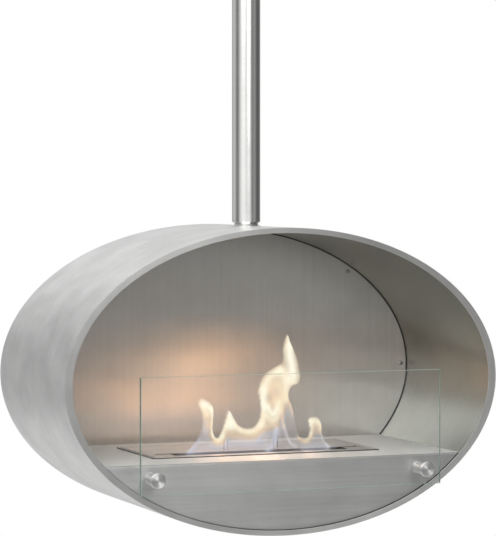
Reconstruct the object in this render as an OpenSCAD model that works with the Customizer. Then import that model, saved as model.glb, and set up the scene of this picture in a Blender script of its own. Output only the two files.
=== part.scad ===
// Hanging fireplace: an oval double-skinned steel drum on a ceiling pole,
// with an ethanol burner set into a hearth shelf and a glass screen in front.
// X runs to the right, Y to the back and Z up. The origin is on the pole's
// axis, on the face of the ceiling plate that lies against the ceiling.

/* [Drum] */
// Width of the oval drum over the outer skin
drum_w = 904; // [860:1:940]
// Height of the oval drum over the outer skin
drum_h = 600; // [580:1:620]
// Depth of the drum from the face of the rim to the back edge
drum_d = 440; // [420:1:460]
// Distance from the ceiling down to the centre of the drum
drop = 1000; // [900:10:1500]
// Size of the front opening as a share of the drum's size
opening_share = 0.9655; // [0.960:0.0005:0.970]
// How far the rim stands in past the inner skin
rim_lip = 3; // [2:0.5:3.5]
// Thickness of the outer skin
skin_t = 1.5; // [1:0.1:1.6]
// Thickness of the inner skin
liner_t = 1.2; // [0.8:0.1:1.2]
// Thickness of the front rim plate
rim_t = 2; // [1.5:0.5:3]

/* [Back panels] */
// Depth at which the face of the inner back panel stands, from the drum's centre
panel_y = 180.6; // [170:0.2:185]
// Thickness of the back panel and of the rear cover
panel_t = 1.5; // [1:0.1:2]
// Shadow gap all round the back panel
panel_gap = 2; // [1:0.5:4]
// Number of screws round each panel
panel_screws = 8; // [8:2:12]

/* [Hearth shelf] */
// Height of the shelf's top below the centre of the drum
shelf_drop = 151.7; // [148:0.1:156]
// Thickness of the folded sheet
shelf_t = 2; // [1.5:0.5:2.5]
// Inside radius of the fold along the front edge
fold_r = 2; // [1:0.5:4]
// How far the fascia stands behind the rim's face
fascia_recess = 5; // [2.5:0.5:8]
// Gap between the fascia's outline and the edge of the opening
fascia_gap = 1; // [0.5:0.5:4]

/* [Glass screen] */
// Width of the glass
glass_w = 625.6; // [600:0.2:650]
// Height of the glass
glass_h = 226.1; // [210:0.1:240]
// Thickness of the glass
glass_t = 8; // [6:1:10]
// Height of the glass's lower edge below the centre of the drum
glass_drop = 207.1; // [200:0.1:215]
// Distance between the two stand-offs
standoff_span = 562; // [540:2:580]
// Height of the stand-offs below the centre of the drum
standoff_drop = 177.3; // [172:0.1:182]
// Diameter of the stand-off posts
post_d = 25; // [20:1:28]
// Length of the stand-off posts
post_len = 32.3; // [24:0.1:44]
// Diameter of the stand-off caps
cap_d = 30; // [28:1:34]
// Length of the stand-off caps
cap_len = 8.5; // [6:0.5:12]

/* [Burner] */
// Width of the burner's top plate
plate_w = 481; // [470:1:490]
// Depth of the burner's top plate, front to back
plate_d = 222; // [216:1:228]
// Distance of the plate's middle in front of the drum's centre
plate_fwd = 6; // [0:1:12]
// Thickness of the top plate
plate_t = 2; // [1.5:0.5:3]
// Width of the flame slot
slot_w = 370; // [340:2:390]
// Depth of the flame slot, front to back
slot_d = 32; // [26:1:34]
// Distance from the plate's front edge to the slot
slot_margin = 29; // [26:1:32]
// Depth of the fuel reservoir below the plate
tank_h = 52; // [45:1:55]

/* [Snuffer lid] */
// Width of the sliding lid
lid_w = 437; // [430:1:440]
// Depth of the sliding lid, front to back
lid_d = 135; // [128:1:138]
// Thickness of the lid and of the guides beside it
lid_t = 1.5; // [1.5:0.5:2]
// How far the lid slides forward to close the slot
lid_travel = 38; // [36:1:42]
// Diameter of the two lid pegs
peg_d = 9; // [8:1:12]
// Height of the lid pegs
peg_h = 17.5; // [14:0.5:20]

/* [Pole] */
// Outer diameter of the pole
pole_d = 57; // [57:0.5:60.5]
// Wall thickness of the pole
pole_t = 2; // [1.5:0.5:3]
// Diameter of the spindle that the drum turns on
spindle_d = 24; // [20:1:26]
// Radial running clearance of the spindle in its plug
spindle_fit = 0.05; // [0.02:0.01:0.1]

/* [Ceiling end] */
// Diameter of the ceiling plate
plate_dia = 140; // [136:1:142]
// Thickness of the ceiling plate
ceiling_plate_t = 8; // [6:1:10]
// Diameter of the circle that the anchor holes lie on
anchor_pcd = 110; // [104:1:114]
// Diameter of each anchor hole
anchor_hole_d = 11; // [9:0.5:12]
// Outer diameter of the ceiling cover
cover_d = 150; // [148:1:170]
// Height of the ceiling cover
cover_h = 60; // [58:1:80]

/* [Hidden] */

$fn = 96;
// Straight sides that stand for the oval: one every two degrees
oval_steps = 180;
// Overshoot of a cutting shape past the face that it cuts
cut = 5;

// Half sizes of the drum, its opening and its inner skin
half_w = drum_w / 2;
half_h = drum_h / 2;
open_w = half_w * opening_share;
open_h = half_h * opening_share;
liner_w = open_w + rim_lip;
liner_h = open_h + rim_lip;

// Planes across the drum, front to back
front_y = -drum_d / 2;
rear_y = drum_d / 2;
skin_y = front_y + rim_t;
fascia_y = front_y + fascia_recess;
panel_back_y = panel_y + panel_t;
flange_t = 2;
flange_w = 18;
rear_recess = 2.5;
cover_y = rear_y - rear_recess - panel_t;
cover_gap = 1;
rear_frame_w = 22;

// Panel screws: shank and button head, and their distance in from the panel's edge
screw_d = 5;
screw_head_d = 9.5;
screw_head_h = 2.2;
screw_len = 6;
screw_inset = 11;

// Drum suspension, as heights above the centre of the drum
saddle_t = 4;
saddle_w = 260;
saddle_len = 180;
collar_h = 4;
neck_d = 46.5;
neck_gap = 0.2;
plug_y0 = half_h + collar_h + neck_gap;
plug_taper_h = 4;
plug_flange_h = 3;
plug_h = 34;
pole_foot = plug_y0 + plug_taper_h + plug_flange_h;
plug_top = pole_foot + plug_h;
washer_t = 3;
washer_d = 48;
washer_clear = 0.4;
nut_seat = 0.05;
nut_z = plug_top + washer_t + nut_seat;
spindle_nut_af = 36;
spindle_nut_h = 19;
pin_d = 4;
pin_len = 34;
pin_clear = 0.5;
pin_z = nut_z + spindle_nut_h + pin_d / 2 + pin_clear;
spindle_tip = 8;
spindle_top = pin_z + spindle_tip;
socket_clear = 0.1;

// Ceiling end, as heights below the ceiling
spigot_wall = 5;
spigot_len = 70;
bolt_d = 8;
bolt_clear = 0.4;
bolt_drop = 42;
bolt_tail = 40;
bolt_head_h = 5.3;
bolt_nut_h = 6.5;
bolt_af = 13;
cover_t = 1.5;
cover_shadow = 0.5;
cover_clear = 0.3;
stop_ring_d = 72;
stop_ring_h = 10;
grub_d = 4;

// Hearth shelf and its rails
shelf_z = -shelf_drop;
shelf_side_gap = 1;
shelf_back_gap = 1;
plate_y = -plate_fwd;
tank_clear = 4;
tray_inset_x = 14.5;
tray_inset_y = 13;
tray_w = plate_w - 2 * tray_inset_x;
tray_d = plate_d - 2 * tray_inset_y;
tray_below = 10;
tray_h = tank_h + tray_below;
tray_t = 1.5;
rail_t = 2;
rail_w = 38;
rail_h = 20;
rail_front_y = -195;
rail_back_y = 165;

// Glass screen and stand-offs
gasket_t = 0.5;
gasket_d = post_d - 1;
stud_d = 8;
stud_hole_d = 8.4;
glass_hole_d = 12;
glass_back_y = fascia_y - post_len - gasket_t;
glass_front_y = glass_back_y - glass_t;
cap_back_y = glass_front_y - gasket_t;
cap_front_y = cap_back_y - cap_len;
stud_bite = 5;
stud_front_y = cap_back_y - stud_bite;
stud_nut_h = 6.5;
stud_tail = 2;
stud_back_y = fascia_y + shelf_t + stud_nut_h + stud_tail;
cap_bevel = 1;

// Burner and lid
plate_top = shelf_z + plate_t;
plate_front_y = plate_y - plate_d / 2;
slot_y0 = plate_front_y + slot_margin;
slot_y1 = slot_y0 + slot_d;
lid_overlap = 1;
lid_front_y = slot_y1 - lid_overlap;
lid_back_y = lid_front_y + lid_d;
lid_side_gap = 0.5;
lid_lift = 0.1;
guide_w = 17;
guide_lead = 17;
guide_front_y = lid_front_y - lid_travel - guide_lead;
guide_back_y = lid_back_y + lid_side_gap + guide_w;
notch = 8;
detent_d = 7;
detent_in_x = 3;
detent_in_y = 4;
detent_x = lid_w / 2 - detent_in_x;
detent_y = lid_front_y + detent_in_y;
reservoir_wall = 1.2;
reservoir_side = 25;
reservoir_front = 9;
reservoir_d = 157;
reservoir_w = slot_w + 2 * reservoir_side;
reservoir_y0 = slot_y0 - reservoir_front;
reservoir_y1 = reservoir_y0 + reservoir_d;
pad_gap = 1;
pad_h = 34;
peg_x = 54;
peg_setback = 35;
peg_y = lid_front_y + peg_setback;

// Points of an oval with the given half width and half height
function oval(rx, ry) = [for (i = [0 : oval_steps - 1])
    let (t = 360 * i / oval_steps) [rx * cos(t), ry * sin(t)]];

// Solid oval bar between two planes across the drum
module oval_bar(rx, ry, y0, y1) {
    translate([0, y1, 0])
        rotate([90, 0, 0])
            linear_extrude(y1 - y0)
                polygon(oval(rx, ry));
}

// Oval ring of a constant wall, measured inwards from the given half sizes
module oval_ring(rx, ry, wall, y0, y1) {
    difference() {
        oval_bar(rx, ry, y0, y1);
        oval_bar(rx - wall, ry - wall, y0 - cut, y1 + cut);
    }
}

// Box between two corners
module span(a, b) {
    translate(a)
        cube(b - a);
}

// Round bar along Y between two planes
module bar_y(d, y0, y1) {
    translate([0, y1, 0])
        rotate([90, 0, 0])
            cylinder(d = d, h = y1 - y0);
}

// Round bar along X between two planes
module bar_x(d, x0, x1) {
    translate([x0, 0, 0])
        rotate([0, 90, 0])
            cylinder(d = d, h = x1 - x0);
}

// Hexagon bar standing on Z, sized across its flats
module hex_bar(af, h) {
    cylinder(d = af / cos(30), h = h, $fn = 6);
}

// Children placed in the drum's own frame
module at_drum() {
    translate([0, 0, -drop])
        children();
}

// Children at each screw of a ring that lies inset inside an oval
module at_screws(rx, ry, phase) {
    for (i = [0 : panel_screws - 1]) {
        t = phase + 360 * i / panel_screws;
        translate([(rx - screw_inset) * cos(t), 0, (ry - screw_inset) * sin(t)])
            children();
    }
}

// Children at the two stand-offs
module at_standoffs() {
    for (side = [-1, 1])
        translate([side * standoff_span / 2, 0, -standoff_drop])
            children();
}

// Button-head screws along Y: heads outside the given face, shanks going in
module panel_screw(face_y, out) {
    head_y = face_y + out * screw_head_h;
    tip_y = face_y - out * screw_len;
    bar_y(screw_head_d, min(face_y, head_y), max(face_y, head_y));
    bar_y(screw_d, min(tip_y, head_y), max(tip_y, head_y));
}

// ---------------------------------------------------------------- ceiling end

module ceiling_plate() {
    color("dimgray")
        difference() {
            translate([0, 0, -ceiling_plate_t])
                cylinder(d = plate_dia, h = ceiling_plate_t);
            for (i = [0 : 3])
                rotate([0, 0, 45 + 90 * i])
                    translate([anchor_pcd / 2, 0, -ceiling_plate_t - cut])
                        cylinder(d = anchor_hole_d, h = ceiling_plate_t + 2 * cut);
        }
}

module ceiling_spigot() {
    spigot_d = pole_d - 2 * pole_t - 2 * socket_clear;
    color("gray")
        difference() {
            translate([0, 0, -ceiling_plate_t - spigot_len])
                cylinder(d = spigot_d, h = spigot_len);
            translate([0, 0, -ceiling_plate_t - spigot_len - cut])
                cylinder(d = spigot_d - 2 * spigot_wall, h = spigot_len + 2 * cut);
            translate([0, 0, -bolt_drop])
                bar_x(bolt_d + 2 * bolt_clear, -pole_d, pole_d);
        }
}

module pole() {
    foot = -drop + pole_foot;
    color("silver")
        difference() {
            translate([0, 0, foot])
                cylinder(d = pole_d, h = -ceiling_plate_t - foot);
            translate([0, 0, foot - cut])
                cylinder(d = pole_d - 2 * pole_t, h = -ceiling_plate_t - foot + 2 * cut);
            translate([0, 0, -bolt_drop])
                bar_x(bolt_d + 2 * bolt_clear, -pole_d, pole_d);
        }
}

module pole_cross_bolt() {
    color("lightgray")
        translate([0, 0, -bolt_drop]) {
            bar_x(bolt_d, -bolt_tail, pole_d / 2);
            translate([pole_d / 2, 0, 0])
                rotate([0, 90, 0])
                    hex_bar(bolt_af, bolt_head_h);
        }
}

module pole_cross_nut() {
    color("lightgray")
        translate([-pole_d / 2, 0, -bolt_drop])
            rotate([0, -90, 0])
                difference() {
                    hex_bar(bolt_af, bolt_nut_h);
                    translate([0, 0, -cut])
                        cylinder(d = bolt_d, h = bolt_nut_h + 2 * cut);
                }
}

// Thin cup that hides the ceiling plate, with a hole for the pole
module ceiling_cover() {
    color("silver")
        difference() {
            translate([0, 0, -cover_shadow - cover_h])
                cylinder(d = cover_d, h = cover_h);
            translate([0, 0, -cover_shadow - cover_h + cover_t])
                cylinder(d = cover_d - 2 * cover_t, h = cover_h);
            translate([0, 0, -cover_shadow - cover_h - cut])
                cylinder(d = pole_d + 2 * cover_clear, h = cover_h);
        }
}

// Clamping ring under the cup: its grub screw holds both up on the pole
module cover_stop_ring() {
    ring_z = -cover_shadow - cover_h - stop_ring_h;
    color("silver")
        difference() {
            translate([0, 0, ring_z])
                cylinder(d = stop_ring_d, h = stop_ring_h);
            translate([0, 0, ring_z - cut])
                cylinder(d = pole_d + 2 * cover_clear, h = stop_ring_h + 2 * cut);
            translate([0, 0, ring_z + stop_ring_h / 2])
                bar_y(grub_d, 0, stop_ring_d);
        }
}

module cover_grub_screw() {
    color("dimgray")
        translate([0, 0, -cover_shadow - cover_h - stop_ring_h / 2])
            bar_y(grub_d, pole_d / 2 + cover_clear, stop_ring_d / 2 - 1);
}

// ------------------------------------------------------------ swivel and hanger

// Turned plug in the foot of the pole, with the upper half of the V groove
module swivel_plug() {
    bore_d = spindle_d + 2 * spindle_fit;
    color("silver")
        at_drum()
            difference() {
                union() {
                    translate([0, 0, plug_y0])
                        cylinder(d1 = neck_d, d2 = pole_d, h = plug_taper_h);
                    translate([0, 0, plug_y0 + plug_taper_h])
                        cylinder(d = pole_d, h = plug_flange_h);
                    translate([0, 0, pole_foot])
                        cylinder(d = pole_d - 2 * pole_t, h = plug_h);
                }
                translate([0, 0, plug_y0 - cut])
                    cylinder(d = bore_d, h = plug_top - plug_y0 + 2 * cut);
            }
}

module thrust_washer() {
    color("goldenrod")
        at_drum()
            translate([0, 0, plug_top])
                difference() {
                    cylinder(d = washer_d, h = washer_t);
                    translate([0, 0, -cut])
                        cylinder(d = spindle_d + 2 * washer_clear, h = washer_t + 2 * cut);
                }
}

module spindle() {
    foot = half_h - skin_t - saddle_t;
    color("lightgray")
        at_drum()
            difference() {
                translate([0, 0, foot])
                    cylinder(d = spindle_d, h = spindle_top - foot);
                translate([0, 0, pin_z])
                    bar_x(pin_d, -spindle_d, spindle_d);
            }
}

module spindle_nut() {
    color("lightgray")
        at_drum()
            translate([0, 0, nut_z])
                difference() {
                    hex_bar(spindle_nut_af, spindle_nut_h);
                    translate([0, 0, -cut])
                        cylinder(d = spindle_d, h = spindle_nut_h + 2 * cut);
                }
}

module spindle_lock_pin() {
    color("lightgray")
        at_drum()
            translate([0, 0, pin_z])
                bar_x(pin_d, -pin_len / 2, pin_len / 2);
}

// Cone-shaped ring welded to the top of the drum: the lower half of the V groove
module drum_collar() {
    sink = 2;
    color("silver")
        at_drum()
            difference() {
                union() {
                    translate([0, 0, half_h])
                        cylinder(d1 = pole_d, d2 = neck_d, h = collar_h);
                    translate([0, 0, half_h - sink])
                        cylinder(d = pole_d, h = sink);
                }
                oval_bar(half_w, half_h, front_y, rear_y);
                translate([0, 0, half_h - cut])
                    cylinder(d = spindle_d, h = collar_h + 2 * cut);
            }
}

// Curved plate inside the top of the drum that spreads the drum's weight
module saddle_plate() {
    color("gray")
        at_drum()
            difference() {
                intersection() {
                    oval_ring(half_w - skin_t, half_h - skin_t, saddle_t, -saddle_len / 2, saddle_len / 2);
                    span([-saddle_w / 2, -saddle_len, 0], [saddle_w / 2, saddle_len, drum_h]);
                }
                translate([0, 0, half_h - skin_t - saddle_t - cut])
                    cylinder(d = spindle_d, h = saddle_t + 2 * cut);
            }
}

// ------------------------------------------------------------------------ drum

module outer_shell() {
    color("silver")
        at_drum()
            difference() {
                oval_ring(half_w, half_h, skin_t, skin_y, rear_y);
                translate([0, 0, half_h - cut])
                    cylinder(d = spindle_d, h = 2 * cut);
            }
}

module front_rim() {
    color("darkgray")
        at_drum()
            difference() {
                oval_bar(half_w, half_h, front_y, skin_y);
                oval_bar(open_w, open_h, front_y - cut, skin_y + cut);
            }
}

module inner_shell() {
    color("gray")
        at_drum()
            oval_ring(liner_w + liner_t, liner_h + liner_t, liner_t, skin_y, panel_back_y + flange_t);
}

// Narrow oval flange at the back of the inner skin that carries the back panel
module panel_flange() {
    color("gray")
        at_drum()
            difference() {
                oval_ring(liner_w, liner_h, flange_w, panel_back_y, panel_back_y + flange_t);
                at_screws(liner_w - panel_gap, liner_h - panel_gap, 0)
                    bar_y(screw_d, panel_y, panel_back_y + cut);
            }
}

module back_panel() {
    color("darkgray")
        at_drum()
            difference() {
                oval_bar(liner_w - panel_gap, liner_h - panel_gap, panel_y, panel_back_y);
                at_screws(liner_w - panel_gap, liner_h - panel_gap, 0)
                    bar_y(screw_d, panel_y - cut, panel_back_y + cut);
            }
}

module back_panel_screws() {
    color("dimgray")
        at_drum()
            at_screws(liner_w - panel_gap, liner_h - panel_gap, 0)
                panel_screw(panel_y, -1);
}

// Oval frame welded inside the outer skin, just in front of the rear cover
module rear_frame() {
    color("gray")
        at_drum()
            difference() {
                oval_ring(half_w - skin_t, half_h - skin_t, rear_frame_w, cover_y - flange_t, cover_y);
                at_screws(half_w - skin_t, half_h - skin_t, 180 / panel_screws)
                    bar_y(screw_d, cover_y - flange_t - cut, cover_y + cut);
            }
}

module rear_cover() {
    inset = skin_t + cover_gap;
    color("silver")
        at_drum()
            difference() {
                oval_bar(half_w - inset, half_h - inset, cover_y, cover_y + panel_t);
                at_screws(half_w - skin_t, half_h - skin_t, 180 / panel_screws)
                    bar_y(screw_d, cover_y - cut, cover_y + panel_t + cut);
            }
}

module rear_cover_screws() {
    color("dimgray")
        at_drum()
            at_screws(half_w - skin_t, half_h - skin_t, 180 / panel_screws)
                panel_screw(cover_y + panel_t, 1);
}

// ---------------------------------------------------------------- hearth shelf

// Sheet folded once along its front edge: shelf on top, fascia in front
module hearth_shelf() {
    bend = fold_r + shelf_t;
    bend_y = fascia_y + bend;
    bend_z = shelf_z - bend;
    back_y = panel_y - shelf_back_gap;
    color("lightgray")
        at_drum()
            difference() {
                union() {
                    intersection() {
                        oval_bar(liner_w - shelf_side_gap, liner_h - shelf_side_gap, skin_y, back_y);
                        span([-half_w, bend_y, shelf_z - shelf_t], [half_w, back_y, shelf_z]);
                    }
                    intersection() {
                        oval_bar(open_w - fascia_gap, open_h - fascia_gap, fascia_y, bend_y);
                        union() {
                            span([-half_w, fascia_y, -half_h], [half_w, fascia_y + shelf_t, bend_z]);
                            translate([0, bend_y, bend_z])
                                difference() {
                                    intersection() {
                                        bar_x(2 * bend, -half_w, half_w);
                                        span([-half_w, -bend, 0], [half_w, 0, bend]);
                                    }
                                    bar_x(2 * fold_r, -half_w, half_w);
                                }
                        }
                    }
                }
                span([-tray_w / 2 - tank_clear, plate_y - tray_d / 2 - tank_clear, shelf_z - cut],
                     [tray_w / 2 + tank_clear, plate_y + tray_d / 2 + tank_clear, shelf_z + cut]);
                at_standoffs()
                    bar_y(stud_hole_d, fascia_y - cut, fascia_y + shelf_t + cut);
            }
}

// Angle rails welded to the inner skin on both sides, under the shelf
module shelf_rails() {
    top = shelf_z - shelf_t;
    edge = liner_w * sqrt(1 - pow(top / liner_h, 2));
    color("gray")
        at_drum()
            intersection() {
                union() {
                    oval_ring(liner_w, liner_h, rail_t, rail_front_y, rail_back_y);
                    for (side = [-1, 1])
                        translate([side * edge, 0, 0])
                            span([-rail_w, rail_front_y, top - rail_t], [rail_w, rail_back_y, top]);
                }
                oval_bar(liner_w, liner_h, rail_front_y, rail_back_y);
                for (side = [-1, 1])
                    translate([side * edge, 0, 0])
                        span([-rail_w, rail_front_y, top - rail_h], [rail_w, rail_back_y, top]);
            }
}

// ---------------------------------------------------------------- glass screen

module standoff_posts() {
    color("silver")
        at_drum()
            at_standoffs()
                difference() {
                    bar_y(post_d, fascia_y - post_len, fascia_y);
                    bar_y(stud_d, fascia_y - post_len - cut, fascia_y + cut);
                }
}

module standoff_caps() {
    color("silver")
        at_drum()
            at_standoffs()
                difference() {
                    union() {
                        bar_y(cap_d, cap_front_y + cap_bevel, cap_back_y);
                        translate([0, cap_front_y + cap_bevel, 0])
                            rotate([90, 0, 0])
                                cylinder(d1 = cap_d, d2 = cap_d - 2 * cap_bevel, h = cap_bevel);
                    }
                    bar_y(stud_d, stud_front_y, cap_back_y + cut);
                }
}

module standoff_studs() {
    color("gray")
        at_drum()
            at_standoffs()
                bar_y(stud_d, stud_front_y, stud_back_y);
}

module standoff_nuts() {
    color("gray")
        at_drum()
            at_standoffs()
                translate([0, fascia_y + shelf_t + stud_nut_h, 0])
                    rotate([90, 0, 0])
                        difference() {
                            hex_bar(bolt_af, stud_nut_h);
                            translate([0, 0, -cut])
                                cylinder(d = stud_d, h = stud_nut_h + 2 * cut);
                        }
}

// Thin rings that keep the glass off the steel, behind it and in front
module glass_gaskets() {
    color("black")
        at_drum()
            at_standoffs()
                for (y = [glass_back_y, glass_front_y - gasket_t])
                    difference() {
                        bar_y(gasket_d, y, y + gasket_t);
                        bar_y(stud_d, y - cut, y + gasket_t + cut);
                    }
}

module glass_screen() {
    color("lightcyan", 0.4)
        at_drum()
            difference() {
                span([-glass_w / 2, glass_front_y, -glass_drop],
                     [glass_w / 2, glass_back_y, glass_h - glass_drop]);
                at_standoffs()
                    bar_y(glass_hole_d, glass_front_y - cut, glass_back_y + cut);
            }
}

// ---------------------------------------------------------------------- burner

// Flat plate that rests on the shelf, with the flame slot through it
module burner_plate() {
    color("silver")
        at_drum()
            difference() {
                span([-plate_w / 2, plate_front_y, shelf_z],
                     [plate_w / 2, plate_y + plate_d / 2, plate_top]);
                span([-slot_w / 2, slot_y0, shelf_z - cut], [slot_w / 2, slot_y1, plate_top + cut]);
                translate([detent_x, detent_y, shelf_z - cut])
                    cylinder(d = detent_d, h = plate_t + 2 * cut);
            }
}

// Low frame on three sides of the lid that it slides in
module lid_guides() {
    inner = lid_w / 2 + lid_side_gap;
    color("silver")
        at_drum()
            difference() {
                span([-inner - guide_w, guide_front_y, plate_top],
                     [inner + guide_w, guide_back_y, plate_top + lid_t]);
                span([-inner, guide_front_y - cut, plate_top - cut],
                     [inner, lid_back_y + lid_side_gap, plate_top + lid_t + cut]);
            }
}

// Open box of thin sheet, its rim against the underside of the plate
module sheet_box(w, y0, y1, h, t) {
    difference() {
        span([-w / 2, y0, shelf_z - h], [w / 2, y1, shelf_z]);
        span([-w / 2 + t, y0 + t, shelf_z - h + t], [w / 2 - t, y1 - t, shelf_z + cut]);
    }
}

module spill_tray() {
    color("gray")
        at_drum()
            sheet_box(tray_w, plate_y - tray_d / 2, plate_y + tray_d / 2, tray_h, tray_t);
}

module fuel_reservoir() {
    color("gray")
        at_drum()
            sheet_box(reservoir_w, reservoir_y0, reservoir_y1, tank_h, reservoir_wall);
}

module absorbent_pad() {
    inset = reservoir_wall + pad_gap;
    base = shelf_z - tank_h + reservoir_wall;
    color("white")
        at_drum()
            span([-reservoir_w / 2 + inset, reservoir_y0 + inset, base],
                 [reservoir_w / 2 - inset, reservoir_y1 - inset, base + pad_h]);
}

// Sliding plate that covers the slot, with a small notch at one front corner
module snuffer_lid() {
    bottom = plate_top + lid_lift;
    color("silver")
        at_drum()
            difference() {
                span([-lid_w / 2, lid_front_y, bottom], [lid_w / 2, lid_back_y, plate_top + lid_t]);
                translate([lid_w / 2, lid_front_y, bottom - cut])
                    cylinder(r = notch, h = lid_t + 2 * cut);
            }
}

module lid_pegs() {
    color("gainsboro")
        at_drum()
            for (side = [-1, 1])
                translate([side * peg_x, peg_y, plate_top + lid_t])
                    cylinder(d = peg_d, h = peg_h);
}

ceiling_plate();
ceiling_spigot();
pole();
pole_cross_bolt();
pole_cross_nut();
swivel_plug();
thrust_washer();
ceiling_cover();
cover_stop_ring();
cover_grub_screw();
spindle();
spindle_nut();
spindle_lock_pin();
drum_collar();
saddle_plate();
outer_shell();
front_rim();
inner_shell();
panel_flange();
back_panel();
back_panel_screws();
rear_frame();
rear_cover();
rear_cover_screws();
hearth_shelf();
shelf_rails();
standoff_posts();
standoff_caps();
standoff_studs();
standoff_nuts();
glass_gaskets();
glass_screen();
burner_plate();
lid_guides();
spill_tray();
fuel_reservoir();
absorbent_pad();
snuffer_lid();
lid_pegs();
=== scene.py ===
# %% [markdown]
# # A hanging fireplace
# An oval drum of brushed stainless steel hangs on one tube. In its open front
# are a hearth shelf, a slot burner with a sliding lid, and a low glass screen.
# The solids come from the CAD model, which fixes every place and size. This
# script dresses them: it loads the solids, makes finer pieces where a curve
# has to look smooth, gives each surface its finish, and adds the flames.

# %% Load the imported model
import math

import bmesh
import bpy
from mathutils import Matrix, Vector
from mathutils.kdtree import KDTree


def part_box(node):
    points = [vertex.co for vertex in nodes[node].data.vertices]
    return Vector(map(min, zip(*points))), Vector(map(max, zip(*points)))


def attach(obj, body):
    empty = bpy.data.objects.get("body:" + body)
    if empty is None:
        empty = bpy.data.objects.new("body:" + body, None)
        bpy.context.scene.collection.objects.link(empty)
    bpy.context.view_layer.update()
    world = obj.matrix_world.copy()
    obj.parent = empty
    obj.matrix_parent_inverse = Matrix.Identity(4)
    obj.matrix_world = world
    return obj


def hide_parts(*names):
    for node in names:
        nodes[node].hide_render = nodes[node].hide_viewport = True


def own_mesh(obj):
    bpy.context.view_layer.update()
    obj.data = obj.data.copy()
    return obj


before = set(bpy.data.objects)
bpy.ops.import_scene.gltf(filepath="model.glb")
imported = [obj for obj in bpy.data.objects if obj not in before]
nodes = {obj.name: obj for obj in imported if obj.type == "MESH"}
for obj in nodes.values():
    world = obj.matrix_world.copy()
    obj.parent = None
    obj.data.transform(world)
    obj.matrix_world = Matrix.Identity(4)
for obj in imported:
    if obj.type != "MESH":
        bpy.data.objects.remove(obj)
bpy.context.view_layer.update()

MM = 0.001

# %% [markdown]
# ## Camera
# The photograph looks at the drum from the left and from slightly above, over
# five metres away. Its place was worked out from the straight and oval edges
# in the picture, so it is written here as a position and two angles. The long
# side of the sensor is Blender's default of 36 mm, which sets the lens.

# %% Camera at the photograph's place
camera_data = bpy.data.cameras.new("camera")
camera = bpy.data.objects.new("camera", camera_data)
bpy.context.scene.collection.objects.link(camera)
camera_data.sensor_width = 36
camera_data.lens = 178.09
camera_data.clip_start = 0.1
camera_data.clip_end = 60
LOOK_TURN = math.radians(-21.302)
LOOK_DOWN = math.radians(1.991)
camera.location = (-1.94107, -4.98836, -0.59931)
camera.rotation_euler = (math.radians(90) - LOOK_DOWN, 0, LOOK_TURN)
bpy.context.scene.camera = camera
bpy.context.scene.view_settings.view_transform = "Standard"
print("camera", tuple(camera.location), "lens", camera_data.lens)

# %% [markdown]
# ## Node helpers
# Every finish below is a small net of shader nodes. Writing each link by hand
# is long, so one helper makes a node, sets its values and joins its inputs. A
# value may be a number, a colour, or another node's output socket.

# %% A helper that makes and joins shader nodes
def add(tree, kind, outlet=0, settings=None, **inputs):
    """Makes a node, sets its settings and inputs, and returns one output."""
    made = tree.nodes.new(kind)
    for key, value in (settings or {}).items():
        setattr(made, key, value)
    for key, value in inputs.items():
        name = key.replace("_", " ")
        socket = made.inputs[int(name[1:])] if name[0] == "i" and name[1:].isdigit() else made.inputs[name]
        if isinstance(value, bpy.types.NodeSocket):
            tree.links.new(value, socket)
        else:
            socket.default_value = value
    return made.outputs[outlet]


def maths(tree, operation, first, second=0.0, third=0.0):
    """One Math node."""
    return add(tree, "ShaderNodeMath", settings={"operation": operation}, i0=first, i1=second, i2=third)


def blend(tree, share, low, high):
    """Mixes two colours by a share from 0 to 1."""
    return add(tree, "ShaderNodeMix", 2, {"data_type": "RGBA"}, i0=share, i6=low, i7=high)


def ramp(tree, share, stops):
    """A colour ramp from a list of (position, colour)."""
    made = tree.nodes.new("ShaderNodeValToRGB")
    made.color_ramp.interpolation = "LINEAR"
    elements = made.color_ramp.elements
    elements[0].position, elements[1].position = stops[0][0], stops[-1][0]
    elements[0].color, elements[1].color = (*stops[0][1], 1), (*stops[-1][1], 1)
    for position, colour in stops[1:-1]:
        elements.new(position).color = (*colour, 1)
    tree.links.new(share, made.inputs[0])
    return made.outputs[0]


def grey(value):
    """A grey of that strength, as a colour."""
    return (value, value, value, 1)


def new_material(name):
    """An empty material and its node tree."""
    material = bpy.data.materials.new(name)
    material.use_nodes = True
    material.node_tree.nodes.clear()
    return material, material.node_tree


def close_material(tree, surface):
    """Joins the last shader to the material's output."""
    out = tree.nodes.new("ShaderNodeOutputMaterial")
    tree.links.new(surface, out.inputs["Surface"])


# %% [markdown]
# ## Studio
# A plain pale studio: a soft white background, one large softbox at the upper
# left, a smaller one in front, and a pale floor far below. Brushed steel shows
# little but what it reflects, so the surroundings carry soft rounds of light
# and shade at three heights. At eye level and above they are bright in front,
# towards the softboxes, and dim at the sides; the low one is dim in front. In
# each list a pair is a heading in degrees (0 in front of the drum, minus to
# the left as one faces it) and the brightness there. The camera sees plain
# white, also through the glass.

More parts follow.
